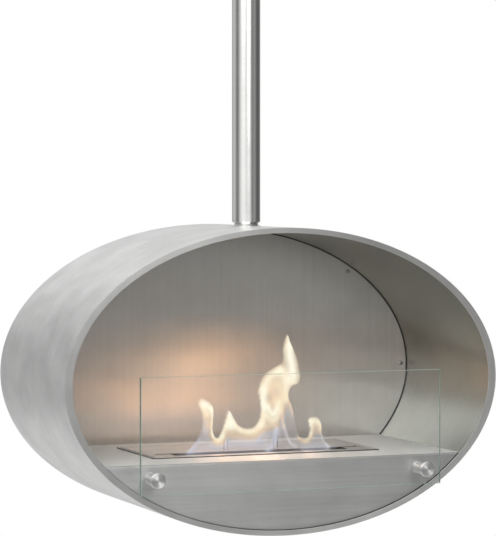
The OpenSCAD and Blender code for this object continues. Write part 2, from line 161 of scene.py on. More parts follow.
# %% Surroundings
world = bpy.data.worlds.new("studio")
bpy.context.scene.world = world
world.use_nodes = True
sky = world.node_tree
sky.nodes.clear()
direction = add(sky, "ShaderNodeTexCoord")
parts = sky.nodes.new("ShaderNodeSeparateXYZ")
sky.links.new(direction, parts.inputs[0])
heading = maths(sky, "ARCTAN2", parts.outputs[0], maths(sky, "MULTIPLY", parts.outputs[1], -1.0))
turn = maths(sky, "MULTIPLY_ADD", heading, 1 / (2 * math.pi), 0.5)
EYE_RING = [
    (-180, 0.40), (-160, 0.40), (-140, 0.60), (-122, 0.52), (-110, 0.26), (-94, 0.16), (-80, 0.42),
    (-62, 0.88), (-40, 0.98), (-20, 0.80), (0, 0.72), (10, 0.72), (18, 0.52), (23, 0.27), (34, 0.22),
    (52, 0.34), (66, 0.18), (88, 0.08), (108, 0.16), (135, 0.35), (180, 0.40),
]
LOW_RING = [
    (-180, 0.50), (-135, 0.55), (-90, 0.25), (-45, 0.20), (-20, 0.10), (0, 0.03), (30, 0.03), (60, 0.10),
    (90, 0.05), (135, 0.20), (180, 0.50),
]
HIGH_RING = [
    (-180, 0.80), (-135, 0.15), (-90, 0.50), (-45, 1.30), (-12, 1.40), (12, 1.30), (30, 0.20), (45, 0.20),
    (90, 0.10), (135, 0.70), (180, 0.80),
]
OVERHEAD = 1.15
# Every brightness is divided by this number and the background multiplies it
# back, so that the colours on the ramps stay below 1.
SKY_POWER = 2.0
LOW_TO_EYE = (-0.26, -0.08)
EYE_TO_HIGH = (0.06, 0.34)
HIGH_TO_OVERHEAD = (0.50, 0.90)


def light_ring(stops):
    """Brightness round the room at one height, from headings in degrees."""
    return ramp(sky, turn, [((angle + 180) / 360, (value / SKY_POWER,) * 3) for angle, value in stops])


def between(low, high):
    """0 to 1 as a direction's height, which is -1 to 1, goes from low to high."""
    return add(sky, "ShaderNodeMapRange", settings={"interpolation_type": "SMOOTHSTEP"},
               i0=parts.outputs[2], i1=low, i2=high, i3=0.0, i4=1.0)


room = blend(sky, between(*LOW_TO_EYE), light_ring(LOW_RING), light_ring(EYE_RING))
room = blend(sky, between(*EYE_TO_HIGH), room, light_ring(HIGH_RING))
mirror_light = blend(sky, between(*HIGH_TO_OVERHEAD), room, grey(OVERHEAD / SKY_POWER))


def straight_view(tree):
    """1 for a ray that comes from the camera, also through glass, with no reflection on its way."""
    path = tree.nodes.new("ShaderNodeLightPath")
    bounced = maths(tree, "ADD", path.outputs["Glossy Depth"], path.outputs["Diffuse Depth"])
    return maths(tree, "MULTIPLY", maths(tree, "LESS_THAN", bounced, 0.5),
                 maths(tree, "MAXIMUM", path.outputs["Is Camera Ray"], path.outputs["Is Transmission Ray"]))


shown = blend(sky, straight_view(sky), mirror_light, grey(1 / SKY_POWER))
backdrop = add(sky, "ShaderNodeBackground", Color=shown, Strength=SKY_POWER)
sky_out = sky.nodes.new("ShaderNodeOutputWorld")
sky.links.new(backdrop, sky_out.inputs[0])


# %% Softboxes and floor
def softbox(name, place, aim, size, power):
    """A square area lamp that looks at a point."""
    data = bpy.data.lights.new(name, "AREA")
    data.shape = "SQUARE"
    data.size = size
    data.energy = power
    lamp = bpy.data.objects.new(name, data)
    bpy.context.scene.collection.objects.link(lamp)
    lamp.location = place
    lamp.rotation_euler = (Vector(aim) - Vector(place)).to_track_quat("-Z", "Y").to_euler()


drum_low, drum_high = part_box("outer_shell")
drum_z = (drum_low.z + drum_high.z) / 2
softbox("key_softbox", (-2.6, -2.8, 1.2), (0, 0, drum_z), size=2.2, power=38)
softbox("front_softbox", (0.0, -3.9, 0.6), (0, 0, drum_z), size=1.6, power=21)

FLOOR_Z = -2.4
FLOOR_R = 3.2
FLOOR_GLOW = 0.55
bpy.ops.mesh.primitive_circle_add(vertices=96, radius=FLOOR_R, fill_type="NGON", location=(0, 0, FLOOR_Z))
floor = bpy.context.object
floor.name = "floor"
floor_paint, tree = new_material("pale_floor")
mottle = add(tree, "ShaderNodeTexNoise", i0=add(tree, "ShaderNodeTexCoord", "Object"), Scale=3.0,
             Detail=4.0)
pale = blend(tree, mottle, grey(0.80), grey(0.86))
matt = add(tree, "ShaderNodeBsdfDiffuse", Color=pale)
glow = add(tree, "ShaderNodeEmission", Color=grey(1.0), Strength=FLOOR_GLOW)
both = add(tree, "ShaderNodeAddShader", i0=matt, i1=glow)
close_material(tree, add(tree, "ShaderNodeMixShader", i0=straight_view(tree), i1=matt, i2=both))
floor.data.materials.append(floor_paint)

# %% [markdown]
# ## Steel finishes
# Brushed stainless steel is a metal with thousands of fine parallel scratches.
# They make its highlights wide across the scratches, and they give a faint
# grain. A noise stretched along the brushing gives the grain in colour,
# roughness and bump, and a slow cloudy noise adds the handling marks that a
# sheet always has. The shader stretches a highlight along its tangent, so a
# quarter turn lays it across the scratches. Three finishes differ by side: the
# side faces of the burner's plate and lid are painted dark, as painted shade
# for the shadow line round them, and the shelf's flat top is finely matt and
# painted much lighter than its steel, as painted light on the top.

# %% Brushed steel
SCRATCH_ALONG = 6.0
BAND_ALONG = 2.0
BAND_WIDTH = 8
CLOUD_SCALE = 14.0
GRAIN_ROUGHNESS = 0.05
CLOUD_ROUGHNESS = 0.06
SCRATCH_DEPTH = 0.1 * MM
QUARTER_TURN = 0.25
FLAT = 0.97
MATT_SHARE = 0.85


def brushed_steel(name, colour, along, roughness, grain, cloud, anisotropy=0.5, coords="Object",
                  fine=900.0, bump=0.12, edge=None, matt_top_painted_light=None):
    """Steel brushed along one axis: "X", "Y" or "Z", or along a UV map's U ("X")."""
    material, tree = new_material(name)
    if coords == "Object":
        place = add(tree, "ShaderNodeTexCoord", "Object")
        run = add(tree, "ShaderNodeVectorTransform",
                  settings={"vector_type": "VECTOR", "convert_from": "OBJECT", "convert_to": "WORLD"},
                  Vector=tuple(float(axis == along) for axis in "XYZ"))
    else:
        place = add(tree, "ShaderNodeUVMap", settings={"uv_map": coords})
        run = add(tree, "ShaderNodeTangent", settings={"direction_type": "UV_MAP", "uv_map": coords})
    fine_place = add(tree, "ShaderNodeMapping", Vector=place,
                     Scale=tuple(SCRATCH_ALONG if axis == along else fine for axis in "XYZ"))
    broad_place = add(tree, "ShaderNodeMapping", Vector=place,
                      Scale=tuple(BAND_ALONG if axis == along else fine / BAND_WIDTH for axis in "XYZ"))
    scratch = add(tree, "ShaderNodeTexNoise", i0=fine_place, Scale=1.0, Detail=3.0, Roughness=0.6)
    band = add(tree, "ShaderNodeTexNoise", i0=broad_place, Scale=1.0, Detail=2.0, Roughness=0.5)
    clouds = add(tree, "ShaderNodeTexNoise", i0=add(tree, "ShaderNodeTexCoord", "Object"),
                 Scale=CLOUD_SCALE, Detail=4.0, Roughness=0.6)
    mark = maths(tree, "MULTIPLY_ADD", scratch, 0.5, maths(tree, "MULTIPLY", band, 0.5))
    mark = add(tree, "ShaderNodeMapRange", i0=mark, i1=0.3, i2=0.7)
    haze = add(tree, "ShaderNodeMapRange", i0=clouds, i1=0.3, i2=0.7)
    dark = tuple(c * (1 - grain) for c in colour)
    light = tuple(min(1.0, c * (1 + grain)) for c in colour)
    tone = blend(tree, mark, (*dark, 1), (*light, 1))
    tone = add(tree, "ShaderNodeMix", 2, {"data_type": "RGBA", "blend_type": "MULTIPLY"},
               i0=1.0, i6=tone, i7=blend(tree, haze, grey(1 - cloud), grey(1.0)))
    rough = maths(tree, "MULTIPLY_ADD", mark, GRAIN_ROUGHNESS, roughness - GRAIN_ROUGHNESS / 2)
    rough = maths(tree, "MULTIPLY_ADD", haze, CLOUD_ROUGHNESS, rough)
    facing = tree.nodes.new("ShaderNodeSeparateXYZ")
    tree.links.new(add(tree, "ShaderNodeTexCoord", "Normal"), facing.inputs[0])
    flat = maths(tree, "GREATER_THAN", maths(tree, "ABSOLUTE", facing.outputs[2]), FLAT)
    # Side faces get the edge colour, darker than the steel: painted shade for the shadow line round the
    # burner's plate and lid.
    if edge:
        tone = blend(tree, flat, (*edge, 1), tone)
    metallic = 1.0
    # The flat top gets a lighter colour that is partly matt: a matt finish, and painted light on the top.
    if matt_top_painted_light:
        tone = blend(tree, flat, tone, (*matt_top_painted_light, 1))
        metallic = maths(tree, "MULTIPLY_ADD", flat, -MATT_SHARE, 1.0)
    relief = add(tree, "ShaderNodeBump", Strength=bump, Distance=SCRATCH_DEPTH, Height=scratch)
    close_material(tree, add(tree, "ShaderNodeBsdfPrincipled", Base_Color=tone, Metallic=metallic,
                             Roughness=rough, Normal=relief, Anisotropic=anisotropy,
                             Anisotropic_Rotation=QUARTER_TURN, Tangent=run))
    return material


finish = {
    # name, colour, brushing, roughness, grain, cloud, anisotropy, and what else differs
    "drum": brushed_steel("drum_skin_steel", (0.75, 0.75, 0.745), "X", 0.45, 0.02, 0.15, 0.6, "round"),
    "rim": brushed_steel("rim_steel", (0.61, 0.61, 0.595), "X", 0.38, 0.03, 0.06, 0.4, "round"),
    "liner": brushed_steel("liner_steel", (0.45, 0.48, 0.455), "X", 0.19, 0.08, 0.10, 0.7, "round"),
    "panel": brushed_steel("panel_steel", (0.52, 0.50, 0.47), "Z", 0.33, 0.05, 0.10, 0.90),
    # The shelf's flat top is matt and painted much lighter than its steel, as painted light.
    "hearth": brushed_steel("hearth_steel", (0.54, 0.54, 0.535), "X", 0.42, 0.10, 0.10, 0.7,
                            matt_top_painted_light=(0.92, 0.92, 0.90)),
    # The plate's and lid's edge colours are painted shade for the shadow lines round them.
    "plate": brushed_steel("burner_plate_steel", (0.68, 0.66, 0.64), "X", 0.36, 0.06, 0.06, 0.6,
                           edge=(0.09, 0.08, 0.07)),
    "lid": brushed_steel("lid_steel", (0.74, 0.72, 0.70), "X", 0.36, 0.06, 0.06, 0.6,
                         edge=(0.26, 0.21, 0.17)),
    "guide": brushed_steel("guide_steel", (0.70, 0.68, 0.66), "X", 0.36, 0.06, 0.06, 0.6),
    "pole": brushed_steel("pole_steel", (0.86, 0.86, 0.84), "X", 0.15, 0.02, 0.02, 0.4, "round", bump=0.01),
    "turned": brushed_steel("turned_steel", (0.72, 0.72, 0.71), "X", 0.36, 0.05, 0.03, 0.95, "round",
                            fine=1600, bump=0.05),
    "peg": brushed_steel("peg_steel", (0.40, 0.40, 0.40), "X", 0.30, 0.03, 0.03, 0.4, "round", bump=0.02),
    "plain": brushed_steel("plain_steel", (0.45, 0.45, 0.45), "Z", 0.42, 0.12, 0.15),
}
print("steel finishes:", len(finish))


# %% [markdown]
# ## Other finishes
# Zinc on hidden nuts and bolts, dark steel on the panel screws, near black on
# the flange behind the back panel as painted shade for its deep gap, bronze
# for the thrust washer, matt rubber rings, white ceramic wool, and clear
# glass. The glass lets lamp light straight through, because Cycles would
# otherwise leave a dark shadow behind it. At its ground edges one looks deep
# into the pane, so they are green, and their brightness is a painted glow for
# the light the pane gathers there; the upright ones are painted darker than
# the top and the bottom, as painted shade.

# %% Zinc, dark screws, painted shade black, bronze, rubber and wool
PATCH_ROUGHNESS = 0.12
PATCH_DEPTH = 0.2 * MM


def speckled(name, low, high, scale, metallic, roughness, bump=0.2, detail=4.0):
    """A finish that varies between two colours in small patches."""
    material, tree = new_material(name)
    place = add(tree, "ShaderNodeTexCoord", "Object")
    spots = add(tree, "ShaderNodeTexNoise", i0=place, Scale=scale, Detail=detail, Roughness=0.6)
    share = add(tree, "ShaderNodeMapRange", i0=spots, i1=0.35, i2=0.65)
    tone = blend(tree, share, (*low, 1), (*high, 1))
    rough = maths(tree, "MULTIPLY_ADD", share, PATCH_ROUGHNESS, roughness - PATCH_ROUGHNESS / 2)
    relief = add(tree, "ShaderNodeBump", Strength=bump, Distance=PATCH_DEPTH, Height=spots)
    close_material(tree, add(tree, "ShaderNodeBsdfPrincipled", Base_Color=tone, Metallic=metallic,
                             Roughness=rough, Normal=relief))
    return material


# name, dark patches, light patches, scale, metallic, roughness
finish["zinc"] = speckled("zinc_plated", (0.42, 0.43, 0.45), (0.60, 0.61, 0.62), 260, 1.0, 0.38)
finish["dark_screw"] = speckled("blackened_steel", (0.24, 0.24, 0.24), (0.46, 0.46, 0.45), 500, 1.0, 0.36)
# The flange gets near black as painted shade for the deep gap round the back panel.
finish["black_steel"] = speckled("black_gap_shade_steel", (0.02, 0.02, 0.02), (0.035, 0.034, 0.033), 300,
                                 0.0, 0.55)
finish["bronze"] = speckled("bronze", (0.52, 0.32, 0.14), (0.66, 0.44, 0.22), 300, 1.0, 0.32)
finish["rubber"] = speckled("rubber_ring", (0.015, 0.015, 0.015), (0.03, 0.03, 0.03), 900, 0.0, 0.75)
finish["wool"] = speckled("ceramic_wool", (0.62, 0.60, 0.56), (0.88, 0.87, 0.84), 420, 0.0, 0.95,
                          bump=1.0, detail=8.0)


# %% Clear glass and its ground edges
def clear_glass():
    """Glass that lets lamps through."""
    material, tree = new_material("clear_glass")
    place = add(tree, "ShaderNodeTexCoord", "Object")
    smears = add(tree, "ShaderNodeTexNoise", i0=place, Scale=9.0, Detail=4.0)
    rough = add(tree, "ShaderNodeMapRange", i0=smears, i1=0.55, i2=0.8, i3=0.0, i4=0.02)
    body = add(tree, "ShaderNodeBsdfPrincipled", Base_Color=(1.0, 1.0, 1.0, 1), Roughness=rough,
               Transmission_Weight=1.0, IOR=1.45)
    clear = add(tree, "ShaderNodeBsdfTransparent", Color=(0.97, 0.985, 0.975, 1))
    shadow = add(tree, "ShaderNodeLightPath", "Is Shadow Ray")
    close_material(tree, add(tree, "ShaderNodeMixShader", i0=shadow, i1=body, i2=clear))
    return material


finish["glass"] = clear_glass()
# The ground edges are opaque: a green glass tint with a painted glow for the light the pane gathers; the
# upright sides are painted darker, as painted shade.
finish["glass_edge"] = speckled("ground_glass_edge", (0.26, 0.36, 0.31), (0.38, 0.48, 0.43), 500, 0.0, 0.30)
finish["glass_side"] = speckled("green_glass_side", (0.14, 0.22, 0.17), (0.22, 0.32, 0.26), 500, 0.0, 0.25)

# %% [markdown]
# ## Piece helpers
# Curved parts of the CAD model arrive as flat facets. To look smooth they are
# made again with more steps, from the same boxes. Two shapes cover nearly all
# of them: a body that follows the drum's oval, and a body turned on a lathe.
# Both start from circles and are skinned with bridge_loops or spun. Normals
# are weighted by face area, so that a long face beside a small rounded edge
# still reflects like a straight one.

# %% Turn a bmesh into a piece of the fireplace
SMOOTH_BELOW = math.radians(32)
WELD = 0.002 * MM


def as_piece(name, bm, body, material, replaced=()):
    """Cleans a bmesh, makes it an object, and says what it rides on."""
    bmesh.ops.remove_doubles(bm, verts=bm.verts, dist=WELD)
    bmesh.ops.recalc_face_normals(bm, faces=bm.faces)
    mesh = bpy.data.meshes.new(name)
    bm.to_mesh(mesh)
    bm.free()
    mesh.shade_smooth()
    mesh.set_sharp_from_angle(angle=SMOOTH_BELOW)
    piece = bpy.data.objects.new(name, mesh)
    bpy.context.scene.collection.objects.link(piece)
    mesh.materials.append(material)
    piece.modifiers.new("even_normals", "WEIGHTED_NORMAL").keep_sharp = True
    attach(piece, body)
    if replaced:
        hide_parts(*replaced)
    return piece


def round_edges(bm, edges, size, segments=2):
    """Bevels edges to a small round."""
    bmesh.ops.bevel(bm, geom=edges, offset=size, segments=segments, profile=0.5,
                    affect="EDGES", material=-1, clamp_overlap=True)


def add_round_uv(bm, centre, axis, radius):
    """A UV map named round: U runs round an axis, in metres at that radius, and V along it."""
    layer = bm.loops.layers.uv.new("round")
    for face in bm.faces:
        middle = face.calc_center_median() - centre
        base = turn_of(middle, axis)
        for loop in face.loops:
            offset = loop.vert.co - centre
            along = offset.dot(axis)
            reach = (offset - axis * along).length
            angle = turn_of(offset, axis) if reach > 0.01 * MM else base
            angle = base + (angle - base + math.pi) % (2 * math.pi) - math.pi
            loop[layer].uv = (angle * radius, along + reach)


def turn_of(offset, axis):
    """Angle of a point round an axis."""
    side = Vector((1, 0, 0)) if abs(axis.x) < 0.5 else Vector((0, 1, 0))
    other = axis.cross(side)
    return math.atan2(offset.dot(other), offset.dot(side))


# %% Bodies that follow the drum's oval
OVAL_STEPS = 320
UPRIGHT = Matrix.Rotation(math.radians(90), 3, "X")


def oval_loop(bm, half_w, half_h, y):
    """One oval loop of edges across the drum."""
    made = bmesh.ops.create_circle(bm, cap_ends=False, segments=OVAL_STEPS, radius=1.0)["verts"]
    bmesh.ops.scale(bm, vec=(half_w, half_h, 1), verts=made)
    bmesh.ops.rotate(bm, cent=(0, 0, 0), matrix=UPRIGHT, verts=made)
    bmesh.ops.translate(bm, vec=(0, y, drum_z), verts=made)
    return sorted({edge for vert in made for edge in vert.link_edges}, key=lambda e: e.index)


def oval_band(name, half_w, half_h, section, body, material, replaced):
    """An oval ring whose cross-section is a list of (inset, y) corners."""
    bm = bmesh.new()
    loops = [oval_loop(bm, half_w - inset, half_h - inset, y) for inset, y in section]
    for first, second in zip(loops, loops[1:] + loops[:1]):
        bmesh.ops.bridge_loops(bm, edges=first + second)
    add_round_uv(bm, Vector((0, 0, drum_z)), Vector((0, 1, 0)), radius=(half_w + half_h) / 2)
    as_piece(name, bm, body, material, replaced)


def open_band(name, outer, inner, y_low, y_high, body, material, replaced, rounded):
    """A flat oval ring between two ovals that aren't parallel curves."""
    bm = bmesh.new()
    loops = [oval_loop(bm, *sizes, y) for sizes, y in
             ((outer, y_low), (outer, y_high), (inner, y_high), (inner, y_low))]
    for first, second in zip(loops, loops[1:] + loops[:1]):
        bmesh.ops.bridge_loops(bm, edges=first + second)
    round_edges(bm, loops[0] + loops[3], rounded, 3)
    add_round_uv(bm, Vector((0, 0, drum_z)), Vector((0, 1, 0)), radius=(outer[0] + outer[1]) / 2)
    as_piece(name, bm, body, material, replaced)


def oval_sheet(name, half_w, half_h, y_low, y_high, body, material, replaced, rounded):
    """A flat oval sheet between two planes."""
    bm = bmesh.new()
    front = oval_loop(bm, half_w, half_h, y_low)
    back = oval_loop(bm, half_w, half_h, y_high)
    bmesh.ops.bridge_loops(bm, edges=front + back)
    bmesh.ops.edgeloop_fill(bm, edges=front)
    bmesh.ops.edgeloop_fill(bm, edges=back)
    round_edges(bm, front + back, rounded)
    as_piece(name, bm, body, material, replaced)


# %% Bodies turned on a lathe
def turned(bm, outline, place, axis, steps, rounded):
    """Spins a closed outline of (radius, height) points round an axis."""
    start = set(bm.verts)
    line = [bm.verts.new((radius, 0, height)) for radius, height in outline]
    for first, second in zip(line, line[1:] + line[:1]):
        bm.edges.new((first, second))
    sharp = [vert for vert in line if vert.co.x > rounded]
    bmesh.ops.bevel(bm, geom=sharp, offset=rounded, segments=2, profile=0.5,
                    affect="VERTICES", material=-1, clamp_overlap=True)
    fresh = [vert for vert in bm.verts if vert not in start]
    edges = list({edge for vert in fresh for edge in vert.link_edges})
    bmesh.ops.spin(bm, geom=fresh + edges, cent=(0, 0, 0), axis=(0, 0, 1),
                   angle=2 * math.pi, steps=steps, use_merge=True, use_duplicate=False)
    fresh = [vert for vert in bm.verts if vert not in start]
    if axis == "Y":
        bmesh.ops.rotate(bm, cent=(0, 0, 0), matrix=UPRIGHT, verts=fresh)
    bmesh.ops.translate(bm, vec=place, verts=fresh)


def turned_piece(name, outline, body, material, replaced, steps, rounded):
    """A single piece turned on the pole's axis."""
    bm = bmesh.new()
    turned(bm, outline, (0, 0, 0), "Z", steps, rounded)
    add_round_uv(bm, Vector((0, 0, 0)), Vector((0, 0, 1)), radius=outline[0][0])
    as_piece(name, bm, body, material, replaced)


# %% [markdown]
# ## The drum
# The real drum is an outer skin and an inner skin of sheet rolled to an oval,
# joined in front by a flat rim, with a panel at the back of the fire chamber
# and a cover behind. Each is made again from its own solid's box, which gives
# half the width and half the height; the sheets' thicknesses are named below.

# %% Outer skin, rim and inner skin
def half_sizes(node):
    """Half width and half height of a node, and its front and back planes."""
    low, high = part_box(node)
    return (high.x - low.x) / 2, (high.z - low.z) / 2, low.y, high.y


SKIN = 1.5 * MM
LINER = 1.2 * MM
RIM_LIP = 3 * MM
half_w, half_h, y_low, y_high = half_sizes("outer_shell")
oval_band("outer_skin", half_w, half_h, [(0, y_low), (0, y_high), (SKIN, y_high), (SKIN, y_low)],
          "drum", finish["drum"], ["outer_shell"])
liner_w, liner_h, liner_y, liner_back = half_sizes("inner_shell")
rim_w, rim_h, rim_y, rim_back = half_sizes("front_rim")
opening = (liner_w - LINER - RIM_LIP, liner_h - LINER - RIM_LIP)
open_band("rim", (rim_w, rim_h), opening, rim_y, rim_back, "drum", finish["rim"], ["front_rim"],
          rounded=0.4 * MM)
oval_band("inner_skin", liner_w, liner_h,
          [(0, liner_y), (0, liner_back), (LINER, liner_back), (LINER, liner_y)],
          "drum", finish["liner"], ["inner_shell"])
panel_w, panel_h, panel_y, panel_back = half_sizes("back_panel")
oval_sheet("back_panel_sheet", panel_w, panel_h, panel_y, panel_back, "drum", finish["panel"],
           ["back_panel"], rounded=0.3 * MM)
cover_w, cover_h, cover_y, cover_back = half_sizes("rear_cover")
oval_sheet("rear_cover_sheet", cover_w, cover_h, cover_y, cover_back, "drum", finish["panel"],
           ["rear_cover"], rounded=0.4 * MM)
print("drum", round(2 * half_w, 4), "x", round(2 * half_h, 4),
      "opening", [round(2 * s, 4) for s in opening])

# %% [markdown]
# ## Pole and swivel
# The pole is one brushed tube. At its foot a turned plug and a collar on the
# drum meet in a V groove: that is where the drum turns. The cup at the ceiling
# and its clamping ring can slide down the pole.

# %% Pole, plug, collar, cup and clamping ring
low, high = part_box("pole")
pole_r = high.x
WALL = 2 * MM
turned_piece("pole_tube",
             [(pole_r, low.z), (pole_r, high.z), (pole_r - WALL, high.z), (pole_r - WALL, low.z)],
             "ceiling_mount", finish["pole"], ["pole"], steps=128, rounded=0.25 * MM)
foot = low.z
low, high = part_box("swivel_plug")
NECK_R = 23.25 * MM
TAPER = 4 * MM
PLUG_BORE_R = 12.05 * MM
plug_in = pole_r - WALL
turned_piece("swivel_plug_turned",
             [(NECK_R, low.z), (pole_r, low.z + TAPER), (pole_r, foot), (plug_in, foot), (plug_in, high.z),
              (PLUG_BORE_R, high.z), (PLUG_BORE_R, low.z)],
             "ceiling_mount", finish["pole"], ["swivel_plug"], steps=128,
             rounded=0.15 * MM)
low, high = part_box("drum_collar")
SEAT_DEPTH = 0.9 * MM
collar_low = drum_high.z - SEAT_DEPTH
turned_piece("drum_collar_turned",
             [(NECK_R, high.z), (pole_r, high.z - TAPER), (pole_r, collar_low), (PLUG_BORE_R, collar_low),
              (PLUG_BORE_R, high.z)],
             "drum", finish["pole"], ["drum_collar"], steps=128, rounded=0.15 * MM)
low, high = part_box("ceiling_cover")
cup_r = high.x
SLIDING_GAP = 0.3 * MM
HOLE_R = pole_r + SLIDING_GAP
CUP_WALL = 1.5 * MM
turned_piece("ceiling_cup",
             [(cup_r, low.z), (cup_r, high.z), (cup_r - CUP_WALL, high.z),
              (cup_r - CUP_WALL, low.z + CUP_WALL), (HOLE_R, low.z + CUP_WALL), (HOLE_R, low.z)],
             "cover", finish["pole"], ["ceiling_cover"], steps=160, rounded=0.5 * MM)
low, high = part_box("cover_stop_ring")
turned_piece("clamping_ring", [(high.x, low.z), (high.x, high.z), (HOLE_R, high.z), (HOLE_R, low.z)],
             "cover", finish["turned"], ["cover_stop_ring"], steps=128, rounded=0.6 * MM)
print("pole", round(2000 * pole_r, 1), "mm, foot at", round(foot, 4))

# %% [markdown]
# ## Stand-offs
# Each stand-off is a round post with a cap that clamps the glass. Both are
# turned parts, and so are the two pegs on the burner's lid. A face cut on a
# lathe has fine rings, and they throw the light out in a bow tie: the round UV
# map gives the shader that direction.

# %% Posts, caps and lid pegs
def pair_of(node):
    """The two places of a node that has one solid on each side, left first."""
    low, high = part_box(node)
    radius = (high.z - low.z) / 2
    middle = (high.z + low.z) / 2
    return [(low.x + radius, middle), (high.x - radius, middle)], radius, low.y, high.y


places, post_r, post_front, post_back = pair_of("standoff_posts")
for side, (x, z) in zip(("left", "right"), places):
    bm = bmesh.new()
    turned(bm, [(post_r, 0), (post_r, post_back - post_front), (0, post_back - post_front), (0, 0)],
           (x, post_back, z), "Y", steps=64, rounded=0.4 * MM)
    add_round_uv(bm, Vector((x, post_back, z)), Vector((0, 1, 0)), radius=post_r)
    as_piece("post_" + side, bm, "drum", finish["turned"], ["standoff_posts"])
places, cap_r, cap_front, cap_back = pair_of("standoff_caps")
CAP_BEVEL = 1 * MM
depth = cap_back - cap_front
for side, (x, z) in zip(("left", "right"), places):
    bm = bmesh.new()
    turned(bm, [(0, depth), (cap_r - CAP_BEVEL, depth), (cap_r, depth - CAP_BEVEL), (cap_r, 0), (0, 0)],
           (x, cap_back, z), "Y", steps=96, rounded=0.2 * MM)
    add_round_uv(bm, Vector((x, cap_back, z)), Vector((0, 1, 0)), radius=cap_r)
    as_piece("cap_" + side, bm, "drum", finish["turned"], ["standoff_caps"])
print("stand-offs at", places)

low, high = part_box("lid_pegs")
peg_r = (high.y - low.y) / 2
peg_y = (high.y + low.y) / 2
for side, x in (("left", low.x + peg_r), ("right", high.x - peg_r)):
    bm = bmesh.new()
    turned(bm, [(0, high.z), (peg_r, high.z), (peg_r, low.z), (0, low.z)],
           (x, peg_y, 0), "Z", steps=48, rounded=0.6 * MM)
    add_round_uv(bm, Vector((x, peg_y, 0)), Vector((0, 0, 1)), radius=peg_r)
    as_piece("lid_peg_" + side, bm, "lid", finish["peg"], ["lid_pegs"])

# %% [markdown]
# ## Glass screen
# The pane is 8 mm float glass, held at two bores by the stand-offs. Its faces
# are clear, its edges are ground and lightly bevelled. A rectangle and two
# circles are filled as one sheet, so the bores come out open, and the sheet is
# extruded to its thickness.

# %% Pane with bores and ground edges
low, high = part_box("glass_screen")
PANE_BORE_R = 6 * MM
ARRIS = 0.5 * MM
MOSTLY = 0.9
bm = bmesh.new()
made = bmesh.ops.create_circle(bm, cap_ends=False, segments=4, radius=math.sqrt(0.5))["verts"]
bmesh.ops.rotate(bm, cent=(0, 0, 0), matrix=Matrix.Rotation(math.radians(45), 3, "Z"), verts=made)
bmesh.ops.scale(bm, vec=(high.x - low.x, high.z - low.z, 1), verts=made)
bmesh.ops.translate(bm, vec=(0, (high.z + low.z) / 2, 0), verts=made)
for x, z in places:
    bore = bmesh.ops.create_circle(bm, cap_ends=False, segments=40, radius=PANE_BORE_R)["verts"]
    bmesh.ops.translate(bm, vec=(x, z, 0), verts=bore)
bmesh.ops.triangle_fill(bm, use_beauty=True, edges=bm.edges[:])
bmesh.ops.rotate(bm, cent=(0, 0, 0), matrix=UPRIGHT, verts=bm.verts)
bmesh.ops.translate(bm, vec=(0, low.y, 0), verts=bm.verts)
back = bmesh.ops.extrude_face_region(bm, geom=bm.faces[:], use_keep_orig=True)["geom"]
pushed = [part for part in back if isinstance(part, bmesh.types.BMVert)]
bmesh.ops.translate(bm, vec=(0, high.y - low.y, 0), verts=pushed)
bmesh.ops.recalc_face_normals(bm, faces=bm.faces)
corners = [edge for edge in bm.edges if edge.calc_face_angle(0) > SMOOTH_BELOW]
round_edges(bm, corners, ARRIS, 1)
# Top and bottom edges take the painted glow finish, upright edges the darker painted shade one.
for face in bm.faces:
    face.material_index = 2 if abs(face.normal.x) > MOSTLY else int(abs(face.normal.y) < MOSTLY)
pane = as_piece("glass_pane", bm, "drum", finish["glass"], ["glass_screen"])
pane.data.materials.append(finish["glass_edge"])
pane.data.materials.append(finish["glass_side"])
print("pane", tuple(round(c * 1000, 1) for c in high - low), "edge faces",
      sum(p.material_index > 0 for p in pane.data.polygons))

# %% [markdown]
# ## Screws
# The panels are held by button-head screws with a hexagon socket. One helper
# stacks round loops for the head and six-sided ones for the socket, so that
# each screw needs under two hundred faces.

# %% Button-head screws round the two panels
HEAD_R = 4.75 * MM
HEAD_H = 2.2 * MM
SOCKET = 1.5 * MM
SCREW_INSET = 11 * MM
SCREWS = 8
# share of the head's radius, share of its height, and whether it is six-sided
HEAD = [(1.0, 0.0, False), (1.0, 0.45, False), (0.86, 0.8, False), (0.62, 1.0, False),
        (SOCKET / HEAD_R, 1.0, True), (SOCKET / HEAD_R, 0.45, True)]


def screw_head(bm, place, out):
    """One head on a face across the drum; out is -1 for the front, 1 for the back."""
    facing_out = Matrix.Rotation(-out * math.radians(90), 3, "X")
    loops = []
    for share, height, six in HEAD:
        made = bmesh.ops.create_circle(bm, cap_ends=False, segments=24, radius=HEAD_R * share)["verts"]
        if six:
            for vert in made:
                angle = math.atan2(vert.co.y, vert.co.x) % math.radians(60) - math.radians(30)
                vert.co *= 1 / math.cos(angle)
        bmesh.ops.translate(bm, vec=(0, 0, HEAD_H * height), verts=made)
        bmesh.ops.rotate(bm, cent=(0, 0, 0), matrix=facing_out, verts=made)
        bmesh.ops.translate(bm, vec=place, verts=made)
        loops.append(list({edge for vert in made for edge in vert.link_edges}))
    for first, second in zip(loops, loops[1:]):
        bmesh.ops.bridge_loops(bm, edges=first + second)
    bmesh.ops.edgeloop_fill(bm, edges=loops[0])
    bmesh.ops.edgeloop_fill(bm, edges=loops[-1])


def screw_ring(name, half_w, half_h, y, out, phase, replaced):
    """Screws evenly spaced in angle, a little inside an oval."""
    bm = bmesh.new()
    for i in range(SCREWS):
        angle = phase + 2 * math.pi * i / SCREWS
        screw_head(bm, ((half_w - SCREW_INSET) * math.cos(angle), y,
                        drum_z + (half_h - SCREW_INSET) * math.sin(angle)), out)
    as_piece(name, bm, "drum", finish["dark_screw"], replaced)


screw_ring("panel_screw_heads", panel_w, panel_h, panel_y, -1, 0, ["back_panel_screws"])
screw_ring("cover_screw_heads", half_w - SKIN, half_h - SKIN, cover_back, 1, math.pi / SCREWS,
           ["rear_cover_screws"])

# %% [markdown]
# ## Nodes that keep their own shape
# Flat and folded sheets, the rubber rings, and everything inside are right as
# they come from the CAD model, so they keep their mesh and only get a finish.

